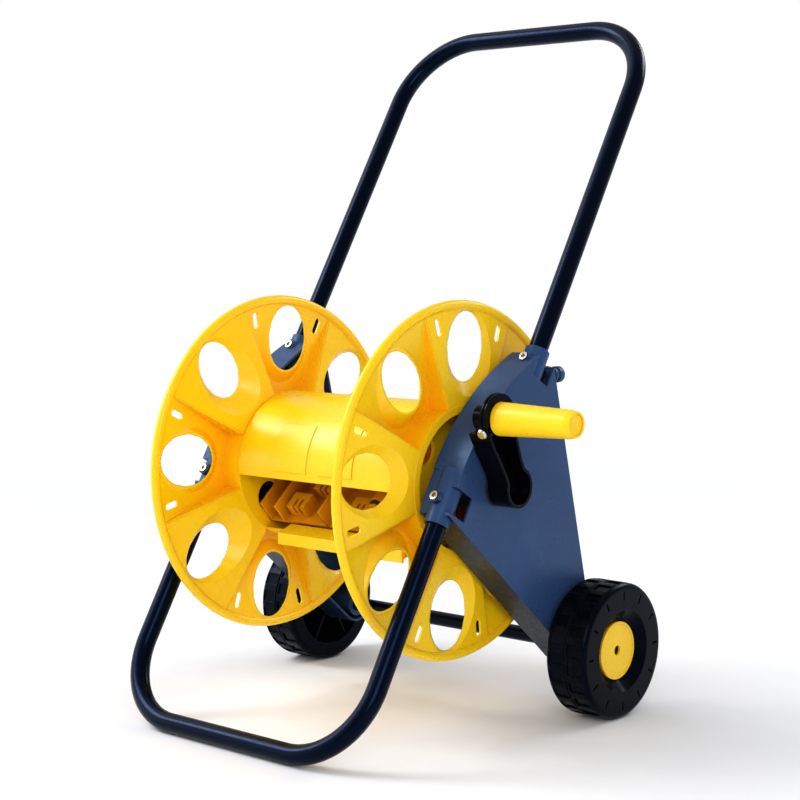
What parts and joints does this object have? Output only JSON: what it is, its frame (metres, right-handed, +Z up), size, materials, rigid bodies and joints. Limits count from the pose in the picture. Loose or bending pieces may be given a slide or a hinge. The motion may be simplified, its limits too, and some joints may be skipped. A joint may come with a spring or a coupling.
{
  "type": "garden hose reel cart",
  "caption": "Two-wheel cart with a bent tube handle and stand, side plates, and a cranked hose reel between two pierced flanges.",
  "frame": {"origin": "middle of the overall box, on the ground", "axes": "+X to the crank side along the reel axis, +Y to the rear where the wheels are, +Z up"},
  "size_m": [0.499, 0.4804, 0.6961],
  "materials": {
    "black_tube": "gloss",
    "slate_plastic": "satin",
    "yellow_plastic": "satin gloss",
    "core_plastic": "satin",
    "crank_plastic": "gloss",
    "wheel_plastic": "satin gloss",
    "shaft_plastic": "satin",
    "bush_plastic": "satin",
    "seal_rubber": "matte",
    "zinc_steel": "zinc plated",
    "bright_steel": "polished"
  },
  "bodies": {
    "frame": {"upper_handle": "black_tube", "lower_stand": "black_tube", "right_side_plate": "slate_plastic", "left_side_plate": "slate_plastic", "tube_screws": "zinc_steel", "screw_nuts": "zinc_steel", "axle_rod": "black_tube", "axle_sleeve": "black_tube", "axle_washers": "zinc_steel", "axle_push_caps": "zinc_steel", "right_bearing_bush": "shaft_plastic", "left_bearing_bush": "shaft_plastic", "hose_inlet": "slate_plastic", "inlet_o_ring": "seal_rubber", "water_pipe": "shaft_plastic", "water_gland": "shaft_plastic"},
    "reel": {"right_flange": "yellow_plastic", "left_flange": "yellow_plastic", "drum_top_shell": "yellow_plastic", "drum_rear_shell": "yellow_plastic", "drum_core": "core_plastic", "drum_guide_strip": "yellow_plastic", "drive_shaft": "core_plastic", "idle_shaft": "core_plastic", "shaft_seals": "seal_rubber", "idle_clip": "zinc_steel", "hose_outlet": "core_plastic", "outlet_o_ring": "seal_rubber", "drum_screws": "zinc_steel", "crank_arm": "crank_plastic", "crank_screw": "zinc_steel", "hinge_pin": "bright_steel"},
    "crank_fold_head": {"crank_head": "crank_plastic", "grip_pin": "bright_steel"},
    "grip": {"crank_grip": "yellow_plastic", "grip_cap": "yellow_plastic"},
    "wheel_right": {"right_wheel": "wheel_plastic", "right_wheel_bush": "bush_plastic", "right_hub_disc": "yellow_plastic"},
    "wheel_left": {"left_wheel": "wheel_plastic", "left_wheel_bush": "bush_plastic", "left_hub_disc": "yellow_plastic"}
  },
  "joints": [
    {"name": "reel_spin", "type": "hinge", "parent": "frame", "child": "reel", "pos_m": [-0.0315, -0.04269, 0.2396], "axis": [1, 0, 0], "continuous": true},
    {"name": "crank_fold", "type": "hinge", "parent": "reel", "child": "crank_fold_head", "pos_m": [0.1555, -0.07292, 0.30051], "axis": [0, 0.8957, 0.4446], "range_deg": [0, 66]},
    {"name": "grip_spin", "type": "hinge", "parent": "crank_fold_head", "child": "grip", "pos_m": [0.2075, -0.07559, 0.30588], "axis": [1, 0, 0], "continuous": true},
    {"name": "right_wheel_spin", "type": "hinge", "parent": "frame", "child": "wheel_right", "pos_m": [0.1635, 0.09372, 0.067], "axis": [1, 0, 0], "continuous": true},
    {"name": "left_wheel_spin", "type": "hinge", "parent": "frame", "child": "wheel_left", "pos_m": [-0.2265, 0.09372, 0.067], "axis": [1, 0, 0], "continuous": true}
  ]
}
